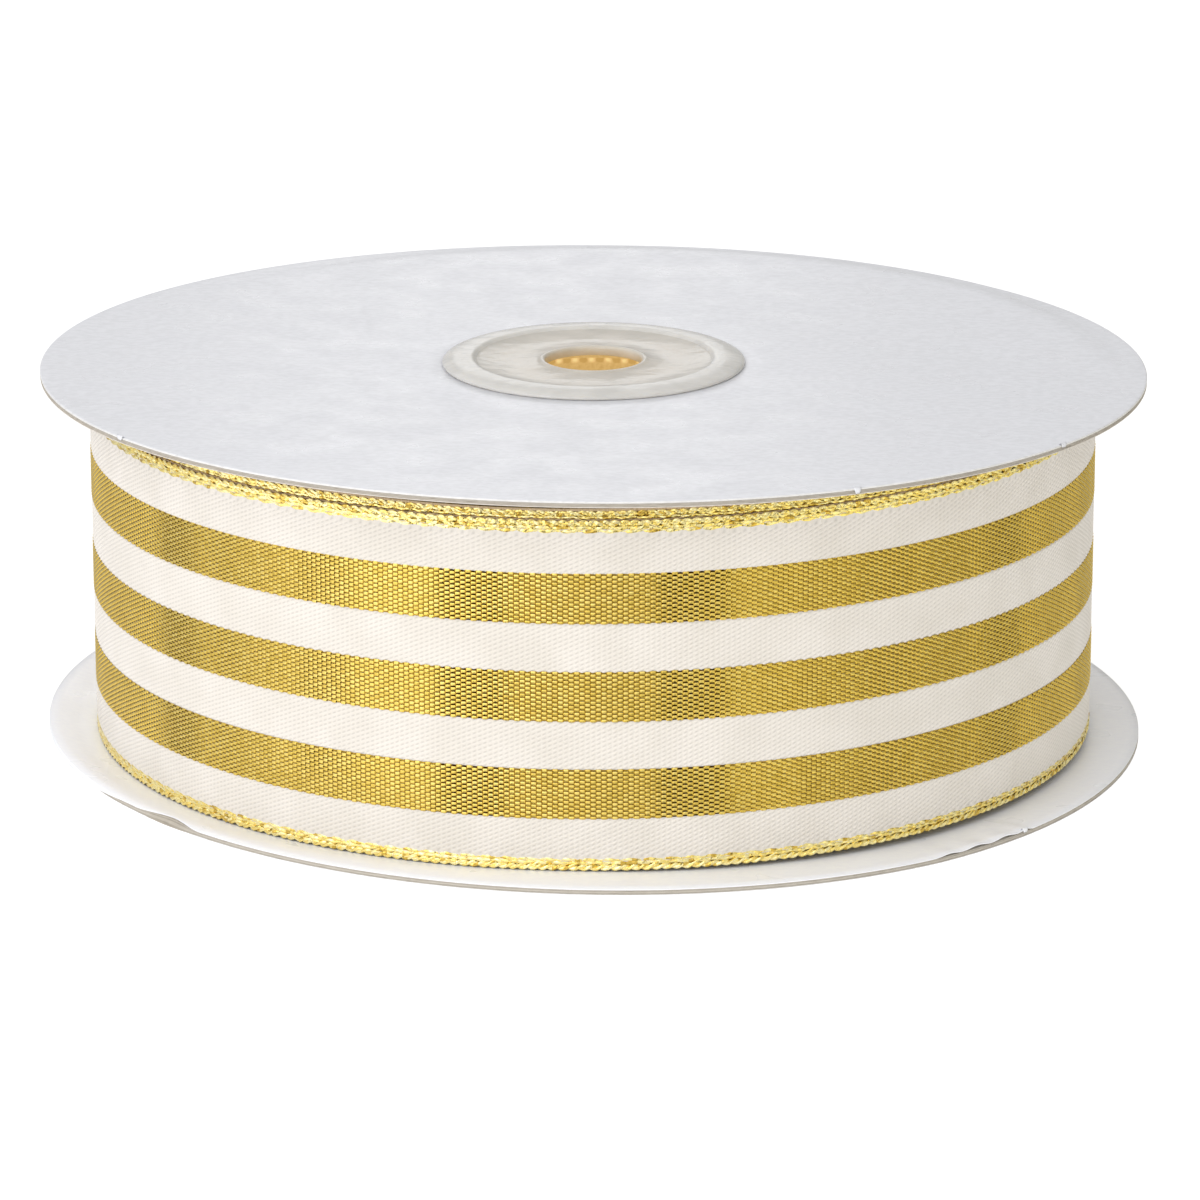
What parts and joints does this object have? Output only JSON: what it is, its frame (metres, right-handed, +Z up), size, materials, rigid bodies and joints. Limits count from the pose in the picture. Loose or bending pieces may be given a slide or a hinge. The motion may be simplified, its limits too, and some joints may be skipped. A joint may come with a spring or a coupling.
{
  "type": "ribbon spool",
  "caption": "Spool of striped gift ribbon with braided edges, wound on a plastic core between two white card discs with an open spindle bore.",
  "frame": {"origin": "on the spindle axis, in the plane of the lowest face, the lower hub cap's ring", "axes": "+Z up the spindle axis; +X and +Y across the discs, with the ribbon's free end on the +Y side"},
  "size_m": [0.1225, 0.1224, 0.0429],
  "materials": {
    "board": "cut greyboard edge in fine plies",
    "paper_liner": "white, calendered, slight sheen",
    "hub_plastic": "milky translucent, moulded, soft gloss",
    "ivory_ground": "fine ribbed taffeta, soft sheen",
    "gold_stripe": "woven flat metallic film yarn, bright",
    "gold_selvedge": "braided metallic thread, bright",
    "clear_tape": "thin clear film"
  },
  "bodies": {
    "core": {"upper_hub_cap": "hub_plastic", "lower_hub_cap": "hub_plastic", "core_barrel": "hub_plastic", "wound_ribbon": "ivory_ground", "wound_upper_stripe": "gold_stripe", "wound_middle_stripe": "gold_stripe", "wound_lower_stripe": "gold_stripe", "wound_upper_selvedge": "gold_selvedge", "wound_lower_selvedge": "gold_selvedge", "outer_turn_ground": "ivory_ground", "outer_turn_upper_stripe": "gold_stripe", "outer_turn_middle_stripe": "gold_stripe", "outer_turn_lower_stripe": "gold_stripe", "outer_turn_upper_selvedge": "gold_selvedge", "outer_turn_lower_selvedge": "gold_selvedge"},
    "upper_disc": {"upper_board": "board", "upper_outer_liner": "paper_liner", "upper_inner_liner": "paper_liner"},
    "lower_disc": {"lower_board": "board", "lower_outer_liner": "paper_liner", "lower_inner_liner": "paper_liner"},
    "free_end": {"free_end_ground": "ivory_ground", "free_end_upper_stripe": "gold_stripe", "free_end_middle_stripe": "gold_stripe", "free_end_lower_stripe": "gold_stripe", "free_end_upper_selvedge": "gold_selvedge", "free_end_lower_selvedge": "gold_selvedge", "end_tape": "clear_tape"}
  },
  "joints": [
    {"name": "upper_disc_turn", "type": "hinge", "parent": "core", "child": "upper_disc", "pos_m": [0, 0, 0.04175], "axis": [0, 0, 1], "continuous": true},
    {"name": "lower_disc_turn", "type": "hinge", "parent": "core", "child": "lower_disc", "pos_m": [0, 0, 0.00115], "axis": [0, 0, 1], "continuous": true},
    {"name": "free_end_lift", "type": "hinge", "parent": "core", "child": "free_end", "pos_m": [-0.01922, 0.05281, 0.0208], "axis": [0, 0, 1], "range_deg": [0, 60]}
  ]
}
